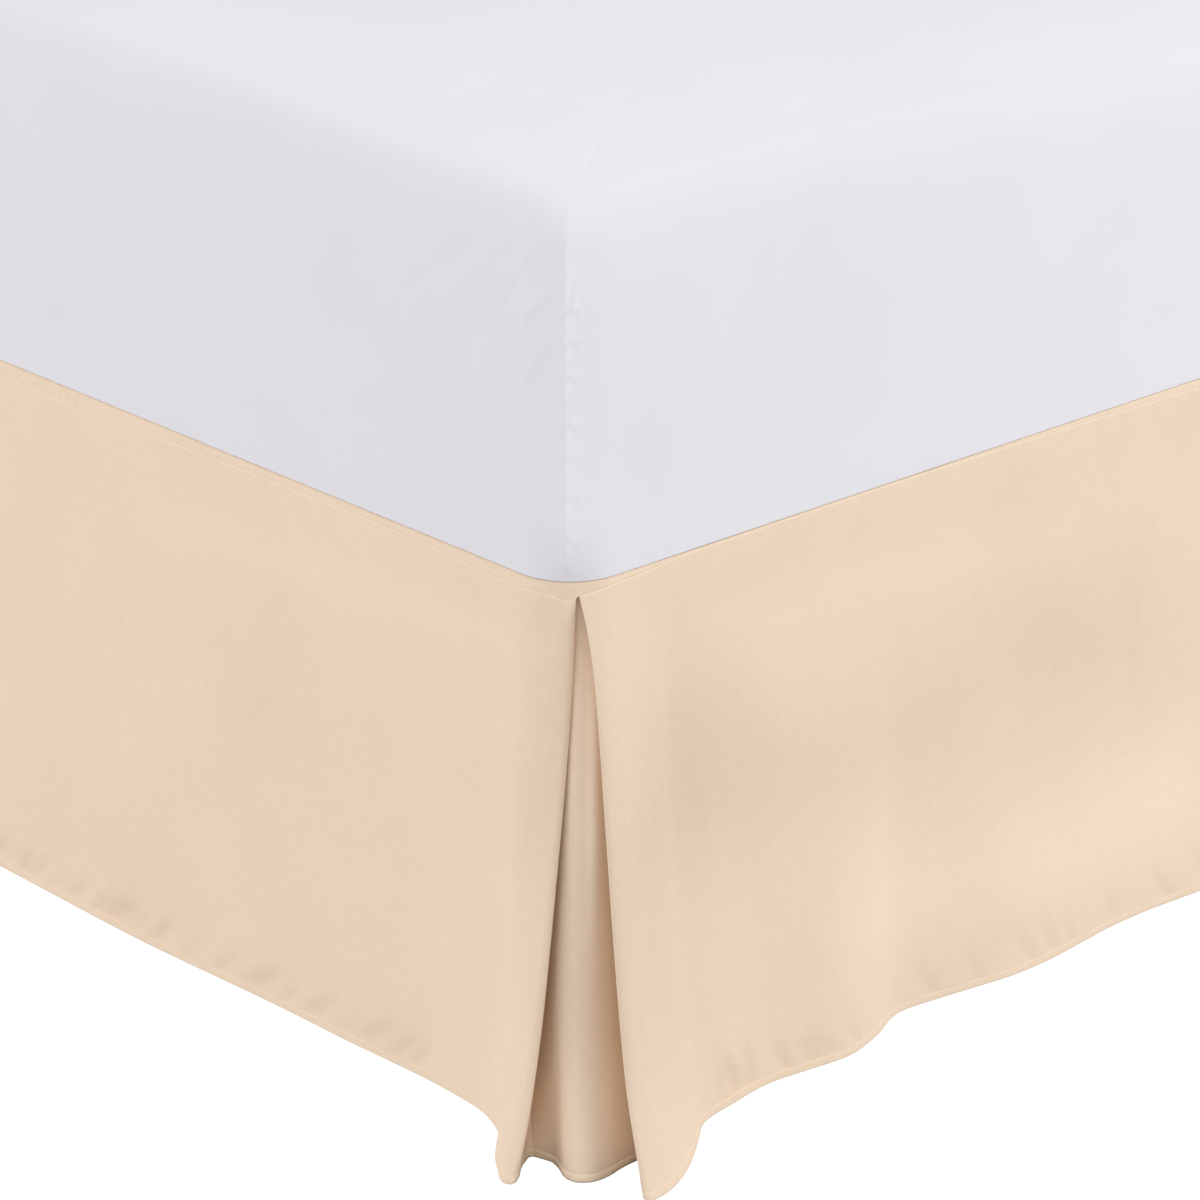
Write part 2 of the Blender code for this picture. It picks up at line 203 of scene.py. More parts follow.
def pleat_columns(table, swing=1.0):
    """Columns of a pleat: seam x, y, hem x, y, earliness, hem clearance, layer, place."""
    columns = []
    for row in table:
        along, layer, out_side, out_foot, early = (*row, 0.0)[:5]
        seam_x, seam_y = seam_place(along * MM, layer)
        hem_x = seam_x + (SIDE_PLANE + out_side * MM - seam_x) * swing
        hem_y = seam_y + (FOOT_PLANE - out_foot * MM - seam_y) * swing
        stand = max(0.0, out_side, out_foot) / 100
        low = HEM_CLEARANCE + (TIP_CLEARANCE - HEM_CLEARANCE) * stand
        columns.append([seam_x, seam_y, hem_x, hem_y, early, low, layer, along])
    return columns


def face_columns(waves, end, place_to_plan):
    """Columns of a plain face from the pleat to the end of its panel."""
    start = waves[0][0] * MM
    count = round((end - start) / COLUMN_SPACING)
    columns = []
    for step in range(1, count + 1):
        place = start + (end - start) * step / count
        out = float(read_table(waves, place / MM)) * MM
        seam = place_to_plan(place, FACE_LAYER)
        hem = place_to_plan(place, out)
        columns.append([*seam, *hem, 0.0, HEM_CLEARANCE, 2.0, place / MM])
    return columns


def on_foot(place, out):
    return SIDE_PLANE - place, FOOT_PLANE - out


def on_side(place, out):
    return SIDE_PLANE + out, FOOT_PLANE + place


def mirrored(columns):
    return [[-c[0], c[1], -c[2], *c[3:]] for c in columns]


foot_face = face_columns(FOOT_WAVES, FOOT_WAVES[-1][0] * MM, on_foot)[:-1]
foot_columns = (
    list(reversed(mirrored(pleat_columns(FOOT_PLEAT, LEFT_SWING))))
    + list(reversed(foot_face)) + pleat_columns(FOOT_PLEAT)
)
right_columns = pleat_columns(SIDE_PLEAT) + face_columns(
    RIGHT_WAVES, BED_LENGTH - HEAD_SETBACK, on_side)
left_columns = mirrored(pleat_columns(SIDE_PLEAT, LEFT_SWING) + face_columns(
    LEFT_WAVES, BED_LENGTH - HEAD_SETBACK, on_side))
print("columns: foot", len(foot_columns), "right", len(right_columns), "left", len(left_columns))

# %% [markdown]
# The rows of the cloth run level, close together at the seam and the hem, where the sewing
# draws small puckers, and wide apart between, where the cloth hangs smooth.

# %% Rows of cloth
DROP = SEAM_HEIGHT - HEM_CLEARANCE
BELOW_SEAM = (0, 0.7, 1.5, 2.5, 3.7, 5.2, 7, 9.2, 12, 16, 21, 27, 34, 42)
ABOVE_HEM = (
    0, 1.2, 2.4, 3.4, 4.1, 4.7, 5.4, 6.4, 7.8, 9.6, 12, 14.8, 17.8, 21, 25, 29.5, 34.5, 40, 46,
    53, 61,
)
middle_rows = np.linspace(BELOW_SEAM[-1], DROP / MM - ABOVE_HEM[-1], 26)[1:-1]
hem_rows = DROP / MM - np.array(ABOVE_HEM[::-1])
ROWS = np.concatenate([BELOW_SEAM, middle_rows, hem_rows]) / (DROP / MM)
FINE_STEP = 0.0036
FOLD_STEP = 0.0016
FOLD_LENGTH = 0.007


def fine_columns(columns):
    """The columns between the measured ones, closer together round the folds."""
    plan = np.array(columns)[:, :4]
    long = np.maximum(np.linalg.norm(np.diff(plan[:, :2], axis=0), axis=1),
                      np.linalg.norm(np.diff(plan[:, 2:], axis=0), axis=1))
    counts = [max(3, math.ceil(d / FOLD_STEP)) if d < FOLD_LENGTH else math.ceil(d / FINE_STEP)
              for d in long]
    return smooth_steps(columns, counts)


def hang(columns, seam_lift):
    """Points of the hanging cloth, by column and row, with the seam raised by seam_lift."""
    late = read_curve(LATE_SWING, ROWS)[None, :]
    early = read_curve(EARLY_SWING, ROWS)[None, :]
    swing = late + (early - late) * columns[:, 4:5]
    points = np.empty((len(columns), len(ROWS), 3))
    for axis in (0, 1):
        seam = columns[:, axis:axis + 1]
        points[:, :, axis] = seam + (columns[:, axis + 2:axis + 3] - seam) * swing
    top = (SEAM_HEIGHT + seam_lift)[:, None]
    points[:, :, 2] = top + (columns[:, 5:6] - top) * ROWS[None, :]
    return points


def outward(points, flip):
    """Unit normals of a grid of points, away from the bed."""
    cross = np.cross(np.gradient(points, axis=0), np.gradient(points, axis=1))
    size = np.linalg.norm(cross, axis=2, keepdims=True)
    return cross / np.maximum(size, 1e-12) * (1.0 if flip else -1.0)


print("rows of cloth:", len(ROWS))

# %% [markdown]
# Between the left flap and the underlay the real pleat is a dark slot. From the fold at its back
# the underlay is pulled straight to a sharp ridge, which lies right behind the mouth at the top
# and has run back into the fold at the hem. So the cloth between them is laid on a chord.

# %% The ridge that runs down the underlay
# Share of the drop, and the place along the seam of the cloth that makes the ridge there.
RIDGE = ((0, 3.3), (0.19, 2.4), (0.27, 1.6), (0.42, -2.1), (0.52, -4.8), (0.70, -13), (0.82, -20),
         (0.92, -30), (1.0, -40))
# Share of the drop, and how far the back fold lies nearer to the bed, sideways and inwards.
BACK_SIDEWAYS = ((0, 0), (0.25, 0), (0.52, 0), (0.75, -8), (0.9, -9), (1.0, -6))
BACK_INWARDS = ((0, 0), (0.12, 1), (0.25, 3), (0.52, 8), (0.75, 10), (0.9, 4), (1.0, -3))
# Share of the drop, and how far the underlay comes forward behind the right flap, which is the
# way to the camera; then the place along the seam, and the share of it there.
FORWARD = ((0, 0), (0.1, 4), (0.2, 8), (0.3, 11), (0.4, 12), (0.5, 8), (0.65, 2.5), (0.8, 0), (1, 0))
FORWARD_PLACE = ((-46, 0), (-5, 0.1), (10, 0.55), (20, 1.0), (28, 0.8), (36, 0.4), (45, 0), (60, 0))
BACK_FOLD = -45.6
MOUTH = -2.0
FORWARD_SIDE, FORWARD_FOOT = 0.739, 0.674


def pull_underlay(points, columns, order, sign):
    """Lays the underlay of one pleat on the chord from its back fold to its ridge."""
    place = columns[order, 7]
    layer = columns[order, 6]
    back = int(np.argmin(np.where((layer > 0.3) & (layer < 0.7) & (place < 0), place, 99)))
    behind = [i for i in range(back, len(order)) if layer[i] < 0.5 and place[i] < 30]
    returning = [i for i in range(back) if layer[i] < 1.3]
    ridge = read_curve(RIDGE, ROWS)
    push = np.stack([sign * read_curve(BACK_SIDEWAYS, ROWS), read_curve(BACK_INWARDS, ROWS)], axis=1)
    push = push * MM
    forward = read_curve(FORWARD, ROWS)[None, :] * read_table(FORWARD_PLACE, place)[:, None] * MM
    forward[:back] = 0.0
    points[order, :, 0] += sign * FORWARD_SIDE * forward
    points[order, :, 1] -= FORWARD_FOOT * forward
    for row in range(len(ROWS)):
        path = points[[order[i] for i in behind], row, :2].copy()
        at = np.maximum.accumulate(place[behind])
        top = np.array([np.interp(ridge[row], at, path[:, axis]) for axis in (0, 1)])
        root = points[order[back], row, :2] + push[row]
        for i in behind:
            part = (place[i] - BACK_FOLD) / (ridge[row] - BACK_FOLD)
            if part < 1:
                points[order[i], row, :2] = root + max(0.0, part) * (top - root)
        for i in returning:
            share = min(1.0, max(0.0, (MOUTH - place[i]) / (MOUTH - BACK_FOLD)))
            points[order[i], row, :2] += push[row] * share
        points[order[back], row, :2] = root


# %% [markdown]
# The seam isn't level. Where the deck was cut a little wide, more of its edge shows above the
# seam, and where the panel was sewn high the seam hides under the mattress.

# %% Height of the seam along each side
FOOT_SEAM_LIFT = (
    (0, -0.8), (11, -0.8), (18, 2), (27, 3.2), (51, 2.6), (98, 4.6), (146, 5.8), (218, 6.5),
    (292, 5.6), (395, 3.6), (465, 2), (533, 0.6), (606, 0.9), (660, 0.6), (760, 3), (900, 5),
    (1100, 2), (1300, 4), (1450, 2), (1524, 1),
)
RIGHT_SEAM_LIFT = (
    (0, -0.8), (11, -0.8), (18, 3), (27, 5.8), (40, 7.3), (66, 8.2), (87, 10.2), (107, 11.2),
    (140, 11.3), (325, 11.3), (378, 10.6), (484, 8.8), (600, 6), (700, 4.5), (900, 6),
    (1150, 3), (1400, 6), (1700, 4), (2032, 5),
)
LEFT_SEAM_LIFT = (
    (0, 1), (80, 3), (240, 6), (500, 4), (760, 7), (1000, 4), (1300, 6), (1600, 3), (2032, 5),
)


def seam_lift(x, y):
    """How far the seam lies above its CAD height at places on the edge of the bed."""
    from_side = np.maximum(0.0, np.abs(x) - SIDE_PLANE + CORNER_RADIUS)
    from_foot = np.maximum(0.0, FOOT_PLANE + CORNER_RADIUS - y)
    scale = CORNER_RADIUS / np.maximum(np.hypot(from_side, from_foot), 1e-9)
    round_corner = (from_side > 0) & (from_foot > 0)
    x = np.where(round_corner, np.sign(x) * (SIDE_PLANE - CORNER_RADIUS + from_side * scale), x)
    y = np.where(round_corner, FOOT_PLANE + CORNER_RADIUS - from_foot * scale, y)
    to_foot = read_curve(FOOT_SEAM_LIFT, (SIDE_PLANE - x) / MM)
    to_right = read_curve(RIGHT_SEAM_LIFT, (y - FOOT_PLANE) / MM)
    to_left = read_curve(LEFT_SEAM_LIFT, (y - FOOT_PLANE) / MM)
    beside = (y - FOOT_PLANE) > (SIDE_PLANE - np.abs(x))
    return np.where(beside, np.where(x > 0, to_right, to_left), to_foot) * MM


print("seam lift at the right corner:", seam_lift(np.array([0.75]), np.array([-0.97])).round(4))

# %% [markdown]
# Small folds come from the sewing. The hem's stitching draws the cloth into short leaning
# dimples, each listed as a soft trough in its own size, and the seam pulls the top of
# the panel in, so the cloth rolls out below it.

# %% Dimples above the hem, in millimetres
# Place along the face, height above the hem, length, half width, lean in degrees, depth.
FOOT_DIMPLES = (
    (619, 11, 12, 5, 40, 0.9), (603, 10, 10, 4, 15, 0.5), (584, 11, 13, 4, 55, 0.7),
    (570, 10, 14, 4.5, 35, 0.8), (541, 10, 11, 3.5, 40, 0.4), (519, 10, 14, 4, 40, 0.7),
    (489, 11, 12, 4, 50, 0.6), (466, 13, 16, 6, 25, 1.3), (440, 11, 11, 4, 40, 0.4),
    (418, 12, 14, 4.5, 45, 0.9), (381, 11, 11, 4, 40, 0.4), (346, 11, 13, 4, 40, 0.7),
    (306, 13, 15, 5, 30, 1.1), (275, 12, 12, 4, 45, 0.5), (242, 14, 16, 5, 35, 0.9),
    (212, 12, 12, 4, 45, 0.5), (184, 15, 18, 5, 30, 1), (155, 14, 15, 5, 40, 0.9),
    (138, 12, 12, 4, 50, 0.7),
)
RIGHT_DIMPLES = (
    (108, 11, 14, 4, 80, 0.6), (120, 14, 15, 5, 70, 0.9), (129, 11, 12, 4, 60, 0.5),
    (140, 13, 14, 5, 80, 0.8), (171, 11, 11, 4.5, 60, 0.7), (193, 9, 10, 4, 45, 0.5),
    (206, 10, 14, 5, 30, 0.5), (236, 9, 11, 4, 60, 0.4), (330, 11, 13, 5, 60, 0.5),
    (372, 10, 12, 4, 70, 0.4), (422, 11, 14, 5, 60, 0.6), (446, 12, 14, 5, 60, 0.6),
    (468, 11, 12, 4, 70, 0.5), (520, 11, 12, 5, 60, 0.4), (575, 11, 13, 4, 55, 0.5),
)
DIMPLE_DEPTH = 3.0
# Step from one to the next, then the range of each number of a row.
FAR_DIMPLES = ((22, 58), (9, 14), (10, 16), (3.5, 5.5), (45, 80), (0.35, 1.0))


def scatter(start, end, seed, step, *ranges):
    """Rows of the same kind along the stretch that the photograph doesn't show."""
    draw = np.random.default_rng(seed)
    rows = []
    place = start
    while place < end:
        rows.append((place, *[draw.uniform(*limits) for limits in ranges]))
        place += draw.uniform(*step)
    return rows


def soft_forms(along, height, rows):
    """Height of a set of leaning ridges, or depth of troughs, at places on a panel."""
    total = np.zeros(np.broadcast(along, height).shape)
    for place, up, length, half_width, lean, amount in rows:
        c, s = math.cos(math.radians(lean)), math.sin(math.radians(lean))
        run = (place - along) * c + (height - up) * s
        across = (place - along) * s - (height - up) * c
        total += amount * np.exp(-(across / half_width) ** 2 - (run / length) ** 2)
    return total


def widened(dimples, up, longer, wider):
    """The same dimples, set higher and drawn longer and wider."""
    return [(place, height + up, length * longer, half_width * wider, lean, deep)
            for place, height, length, half_width, lean, deep in dimples]


print("dimples by hand:", len(FOOT_DIMPLES) + len(RIGHT_DIMPLES))

# %% [markdown]
# Broad folds give the large soft shades. Each is a long ridge (positive) or trough (negative)
# a hand or more across. Patches of painted shade and painted light are placed like them:
# darker where the cloth lies in shade, lighter where it faces the light.

# %% Broad folds, and patches of painted light and shade, in millimetres
# Place along the face, height, half length, half width, lean in degrees, height of the ridge.
RIGHT_FOLDS = (
    (70, 245, 95, 38, 90, -3), (178, 262, 95, 42, 80, 3.6), (125, 185, 70, 50, 0, -2),
    (128, 325, 60, 45, 8, 2), (430, 170, 95, 45, 75, -3.2), (560, 275, 95, 45, 75, 3.6),
    (400, 70, 60, 55, 60, 2.5), (640, 100, 90, 60, 80, -4), (545, 215, 60, 16, 84, -0.8),
)
FOOT_FOLDS = (
    (150, 300, 90, 45, 100, -1.2), (330, 240, 140, 70, 75, 1.2), (500, 150, 110, 60, 70, -1.2),
    (610, 250, 130, 60, 95, 1),
)
FAR_FOLDS = ((80, 150), (120, 280), (90, 160), (38, 70), (60, 110), (-2.2, 2.2))
# Heights of the hem's fold, of its stitches and of the lowest dimple; the thickness of the band
# and the depth of its stitches; how far the cloth rolls out below the seam and is drawn in at it.
HEM_FOLD, HEM_STITCH, DIMPLE_START = 4.2, 4.7, 5.0
BAND_THICKNESS, STITCH_DEPTH = 0.45, 0.35
SEAM_ROLL, SEAM_PINCH, ROLL_LENGTH = 0.5, 1.15, 6.0


def ease(x):
    """A soft step from 0 far below zero to 1 far above it."""
    return 0.5 + 0.5 * np.tanh(0.5 * x)


def on_face(layer):
    """1 on the face of a panel, 0 on the layers of the pleat behind it."""
    return np.clip((layer - 1.75) * 4, 0.0, 1.0)


def off_band(above):
    """0 on the band of the hem, 1 on the cloth above it."""
    return ease((above - DIMPLE_START) * 1.5)


def cloth_relief(along, above, below, layer, dimples, folds):
    """How far the face's cloth stands out from its smooth hang, in millimetres."""
    roll = SEAM_ROLL - SEAM_PINCH * np.exp(-below / ROLL_LENGTH)
    band = BAND_THICKNESS * ease((HEM_FOLD - above) * 2.6)
    band = band - STITCH_DEPTH * np.exp(-((above - HEM_STITCH) / 0.8) ** 2)
    broad = soft_forms(along, above, folds) * np.clip(below / 60, 0, 1) * np.clip(above / 50, 0, 1)
    small = DIMPLE_DEPTH * soft_forms(along, above, widened(dimples, 2, 1.4, 1.3)) * off_band(above)
    return on_face(layer) * (roll - small + broad) + band


# Place along the face, height, half length, half width, lean in degrees, and how much painted
# light (up to 1) or painted shade (down to -1) lies there.
RIGHT_PAINTED_LIGHT_AND_SHADE = (
    (108, 238, 85, 62, 70, -0.85), (190, 225, 70, 50, 20, -0.3), (470, 235, 80, 48, 20, -0.7),
    (370, 215, 60, 40, 15, -0.3), (410, 82, 150, 46, 8, 0.85), (575, 85, 90, 55, 12, 0.9),
    (280, 75, 90, 40, 10, 0.2), (330, 330, 160, 24, 4, 0.35), (150, 330, 60, 26, 8, 0.25),
    (545, 215, 55, 8, 86, -0.3), (50, 185, 140, 42, 86, -1.0), (275, 215, 75, 42, 10, -0.45),
)
FOOT_PAINTED_LIGHT_AND_SHADE = (
    (560, 320, 60, 24, 60, -0.3), (300, 240, 90, 45, 90, -0.25), (30, 250, 110, 16, 90, -0.5),
    (200, 345, 200, 16, 3, 0.4), (470, 60, 120, 30, 3, -0.2), (120, 120, 90, 40, 80, 0.2),
)


# How much painted shade darkens the dimples, and the cloth behind the face inside the pleat,
# between two heights with their soft edges.
DIMPLE_SHADE, BEHIND_SHADE = 0.8, 0.8
BEHIND_LOW, BEHIND_HIGH = (70, 12), (310, 15)


def share_of_painted_light(along, above, layer, rows, dimples, even):
    """Painted light and shade: an even share, listed patches, and shade in dimples and pleat."""
    face = on_face(layer)
    shade = DIMPLE_SHADE * soft_forms(along, above, widened(dimples, 4, 1.5, 1.5)) * off_band(above)
    behind = -BEHIND_SHADE * ease((above - BEHIND_LOW[0]) / BEHIND_LOW[1])
    behind = behind * ease((BEHIND_HIGH[0] - above) / BEHIND_HIGH[1])
    return face * (even + soft_forms(along, above, rows) - shade) + (1 - face) * behind


print("broad folds by hand:", len(RIGHT_FOLDS) + len(FOOT_FOLDS), "patches of nap:",
      len(RIGHT_PAINTED_LIGHT_AND_SHADE) + len(FOOT_PAINTED_LIGHT_AND_SHADE))

# %% [markdown]
# Each panel is one grid: bmesh makes it flat, each vertex is laid on the hanging cloth, and a
# Solidify modifier gives it the cloth's thickness. A UV map in metres of cloth lets the stitches
# follow every fold.

# %% Make a cloth grid
def add_piece(name, shape):
    """A mesh object from a bmesh, shaded smooth."""
    mesh = bpy.data.meshes.new(name)
    for face in shape.faces:
        face.smooth = True
    shape.to_mesh(mesh)
    shape.free()
    return add_object(name, mesh)


def thicken(piece, thickness, offset=0.0):
    modifier = piece.modifiers.new("cloth thickness", "SOLIDIFY")
    modifier.thickness = thickness
    modifier.offset = offset
    return piece


def cloth_grid(name, points, out, values):
    """A grid laid on points, its faces towards out, with point attributes from values."""
    across = points.shape[0] - 1
    down = points.shape[1] - 1
    shape = bmesh.new()
    bmesh.ops.create_grid(shape, x_segments=across, y_segments=down, size=1.0)
    places = []
    for vert in shape.verts:
        place = (round((vert.co.x + 1) / 2 * across), round((1 - vert.co.y) / 2 * down))
        places.append(place)
        vert.co = points[place]
    shape.normal_update()
    shape.faces.ensure_lookup_table()
    middle = shape.faces[len(shape.faces) // 2]
    if middle.normal.dot(Vector(out)) < 0:
        bmesh.ops.reverse_faces(shape, faces=shape.faces[:])
    run = np.linalg.norm(np.diff(points[:, -1], axis=0), axis=1)
    run = np.concatenate([[0.0], np.cumsum(run)])
    fall = np.linalg.norm(np.diff(points, axis=1), axis=2).mean(axis=0)
    fall = np.concatenate([[0.0], np.cumsum(fall)])
    cloth_map = shape.loops.layers.uv.new("cloth")
    shape.verts.index_update()
    for face in shape.faces:
        for loop in face.loops:
            column, row = places[loop.vert.index]
            loop[cloth_map].uv = (run[column], fall[-1] - fall[row])
    piece = add_piece(name, shape)
    order = tuple(np.array(places).T)
    for key, array in values.items():
        attribute = piece.data.attributes.new(key, "FLOAT", "POINT")
        attribute.data.foreach_set("value", array[order].astype(np.float32))
    print(name, "columns", across + 1, "rows", down + 1, "cloth", round(run[-1], 3), "x",
          round(fall[-1], 3), "m")
    return piece


def hang_panel(name, columns, out, flip, dimples, folds, painted_light_and_shade, even):
    """A drop panel with its pleats, its seam's roll, its hem and its folds."""
    fine = fine_columns(columns)
    points = hang(fine, seam_lift(fine[:, 0], fine[:, 1]))
    if out[1]:
        half = len(fine) // 2
        pull_underlay(points, fine, list(range(half, len(fine))), 1)
        pull_underlay(points, fine, list(range(half))[::-1], -1)
    along = (SIDE_PLANE - fine[:, 0]) if out[1] else (fine[:, 1] - FOOT_PLANE)
    along = (along / MM)[:, None]
    above = (points[:, :, 2] - points[:, -1:, 2]) / MM
    below = (points[:, :1, 2] - points[:, :, 2]) / MM
    layer = fine[:, 6:7]
    relief = cloth_relief(along, above, below, layer, dimples, folds) * MM
    points = points + outward(points, flip) * relief[:, :, None]
    # The painted light and shade goes to the material as a point attribute.
    values = {"above_hem": above, "below_seam": np.broadcast_to(below, above.shape),
              "painted_light_and_shade": share_of_painted_light(along, above, layer, painted_light_and_shade, dimples, even)}
    return thicken(cloth_grid(name, points, out, values), CLOTH_THICKNESS)


foot_dimples = [*FOOT_DIMPLES, *scatter(650, 1390, 3, *FAR_DIMPLES)]
foot_folds = [*FOOT_FOLDS, *scatter(720, 1400, 5, *FAR_FOLDS)]
right_dimples = [*RIGHT_DIMPLES, *scatter(620, 2010, 7, *FAR_DIMPLES)]
right_folds = [*RIGHT_FOLDS, *scatter(700, 2000, 9, *FAR_FOLDS)]
left_dimples = scatter(110, 2010, 11, *FAR_DIMPLES)
left_folds = scatter(180, 2000, 13, *FAR_FOLDS)
foot_panel = hang_panel("foot_panel_cloth", foot_columns, (0, -1, 0), False,
                        foot_dimples, foot_folds, FOOT_PAINTED_LIGHT_AND_SHADE, 0.0)
# The whole right panel carries an even painted shade, as well as its patches.
side_panel_right = hang_panel("side_panel_right_cloth", right_columns, (1, 0, 0), False,
                              right_dimples, right_folds, RIGHT_PAINTED_LIGHT_AND_SHADE, -0.45)
side_panel_left = hang_panel("side_panel_left_cloth", left_columns, (-1, 0, 0), True,
                             left_dimples, left_folds, (), 0.0)

# %% [markdown]
# The deck is the flat platform that the mattress lies on. All that shows of it is the edge that
# turns down over the box spring and meets the panels at the seam. So its rim is a fine strip,
# and one flat face closes it under the mattress.

# %% Deck of the skirt
DECK_STEP = 0.003
FINE_STRETCH = 0.65
# Millimetres out from the seam, and share of the height from the seam up to the deck's top.
RIM_ROWS = (
    (-0.5, -0.06), (-0.45, 0), (-0.42, 0.15), (-0.42, 0.3), (-0.42, 0.5), (-0.44, 0.7),
    (-0.5, 0.86), (-0.8, 0.97), (-1.6, 1), (-5, 1), (-12, 1), (-24, 1), (-40, 1),
)
# Place from the corner and half length of the stretch where the rim puckers, and the puckers'
# height and length, all in millimetres.
PUCKERED_PLACE, PUCKERED_HALF, PUCKER_HEIGHT, PUCKER_LENGTH = 524, 26, 0.8, 9.5


def corner_arc(side, end, turns):
    """Places on a rounded corner of the bed, with their directions out."""
    x, y = side * (SIDE_PLANE - CORNER_RADIUS), end - math.copysign(CORNER_RADIUS, end)
    return [(x + CORNER_RADIUS * math.cos(turn), y + CORNER_RADIUS * math.sin(turn),
             math.cos(turn), math.sin(turn)) for turn in turns]


def rim_path():
    """Places along the seam from the head end, round both foot corners, with directions out."""
    long = BED_LENGTH - HEAD_SETBACK - CORNER_RADIUS
    side = np.concatenate([np.arange(0, long - FINE_STRETCH, 3 * DECK_STEP),
                           np.arange(long - FINE_STRETCH, long, DECK_STEP)])
    half = np.arange(0, SIDE_PLANE - CORNER_RADIUS, DECK_STEP)
    rows = [(SIDE_PLANE, HEAD_PLANE - HEAD_SETBACK - s, 1.0, 0.0) for s in side]
    rows += corner_arc(1, FOOT_PLANE, -np.linspace(0, math.pi / 2, 24)[:-1])
    rows += [(SIDE_PLANE - CORNER_RADIUS - s, FOOT_PLANE, 0.0, -1.0) for s in half]
    right = np.array(rows)
    return np.concatenate([right, [[0.0, FOOT_PLANE, 0.0, -1.0]], right[::-1] * (-1, 1, -1, 1)])


path = rim_path()
lift = seam_lift(path[:, 0], path[:, 1])
to_corner = (SIDE_PLANE - path[:, 0]) / MM
pucker = PUCKER_HEIGHT * MM * np.exp(-((to_corner - PUCKERED_PLACE) / PUCKERED_HALF) ** 4)
faint = 0.08 * MM * np.sin(np.arange(len(path)) * 0.55) * np.sin(np.arange(len(path)) * 0.067)
rim = np.empty((len(path), len(RIM_ROWS), 3))
for row, (out, up) in enumerate(RIM_ROWS):
    lean = to_corner * 2 * math.pi / PUCKER_LENGTH + up * 3.0
    waves = (pucker * np.sin(lean) + faint) * max(0.0, 1 - 1.6 * abs(up - 0.35))
    reach = FACE_LAYER + out * MM + waves
    rim[:, row, 0] = path[:, 0] + path[:, 2] * reach
    rim[:, row, 1] = path[:, 1] + path[:, 3] * reach
    low = SEAM_HEIGHT + lift
    rim[:, row, 2] = low + (DECK_TOP - low) * up
flat = np.zeros(rim.shape[:2])
deck_cloth = cloth_grid("deck_cloth", rim, (0, -1, 0), {
    "above_hem": flat + 50, "below_seam": flat + 50, "painted_light_and_shade": flat})

shape = bmesh.new()
shape.from_mesh(deck_cloth.data)
inner = [e for e in shape.edges if e.is_boundary and all(v.co.z > DECK_TOP - 1e-6 for v in e.verts)
         and all(abs(v.co.x) < SIDE_PLANE - 0.03 and v.co.y > FOOT_PLANE + 0.03 for v in e.verts)]
ends = [v for e in inner for v in e.verts if sum(o in inner for o in v.link_edges) == 1]
closing = bmesh.ops.contextual_create(shape, geom=ends)["edges"]
bmesh.ops.edgeloop_fill(shape, edges=inner + closing)
bmesh.ops.recalc_face_normals(shape, faces=shape.faces[:])
if max(shape.faces, key=lambda f: f.calc_area()).normal.z < 0:
    bmesh.ops.reverse_faces(shape, faces=shape.faces[:])
for face in shape.faces:
    face.smooth = True
shape.to_mesh(deck_cloth.data)
shape.free()
thicken(deck_cloth, CLOTH_THICKNESS, -1.0)
print("deck rim", len(path), "places, closing edges", len(closing))

# %% [markdown]
# The mattress wears a white fitted sheet. It is built in rings, as a pot is coiled: a circle of
# vertices is laid on the rounded outline of the bed, then extruded ring by ring up the side,
# over the soft top edge and in to the middle. The columns lie closest at the sheet's corner seam.

# %% Outline and rings of the mattress
MATTRESS_HEIGHT = 0.250
MATTRESS_BOTTOM = DECK_TOP + 0.0003
TOP_RADIUS = 0.034
BOTTOM_RADIUS = 0.0012
CROWN = 0.018
BULGE = 0.0050
FAR_PLACE = 5.0
TOP_SHRINKS = (0.985, 0.965, 0.94, 0.91, 0.87, 0.82, 0.75, 0.66, 0.55, 0.42, 0.28, 0.14, 0.04)
# How far the corner is pulled out of its round form, within which distance of the seam, and
# between which heights the seam is a sharp line.
SHARPNESS, SHARP_HALF, SEAM_LOW, SEAM_HIGH = 0.92, 0.031, 0.015, 0.235
# Place along from the corner, and how far the soft top edge stands above its even height.
FOOT_EDGE_RISE = ((0, 1), (82, 5), (294, 13), (436, 18), (620, 14), (900, 6), (1524, 2))
RIGHT_EDGE_RISE = ((0, 1), (47, 3), (206, 7), (400, 0), (570, -8), (900, -2), (2032, 2))


def outline_path():
    """Closed outline of the mattress: x, y, direction out, and place along from the corner."""
    near = np.concatenate([np.arange(0.038, 0.109, 0.003), np.arange(0.11, 0.70, 0.0075),
                           np.arange(0.70, 10, 0.03)])
    foot = near[near < 2 * SIDE_PLANE - CORNER_RADIUS - 0.01]
    side = near[near < BED_LENGTH - CORNER_RADIUS - 0.01]
    rows = [(SIDE_PLANE - p, FOOT_PLANE, 0, -1, -p) for p in foot[::-1]]
    turns = np.linspace(0, math.pi / 2, 37)[1:-1] - math.pi / 2
    rows += [(*place, (turn + math.pi / 4) * CORNER_RADIUS)
             for place, turn in zip(corner_arc(1, FOOT_PLANE, turns), turns)]
    rows += [(SIDE_PLANE, FOOT_PLANE + p, 1, 0, p) for p in side]
    quarter = np.linspace(0, math.pi / 2, 7)
    far = corner_arc(1, HEAD_PLANE, quarter)
    far += [(x, HEAD_PLANE, 0, 1) for x in np.arange(0.69, -0.70, -0.05)]
    far += corner_arc(-1, HEAD_PLANE, quarter + math.pi / 2)
    far += [(-SIDE_PLANE, y, -1, 0) for y in np.arange(0.98, -0.92, -0.05)]
    far += corner_arc(-1, FOOT_PLANE, quarter[:-1] + math.pi)
    return np.array(rows + [(*place, FAR_PLACE) for place in far], dtype=float)


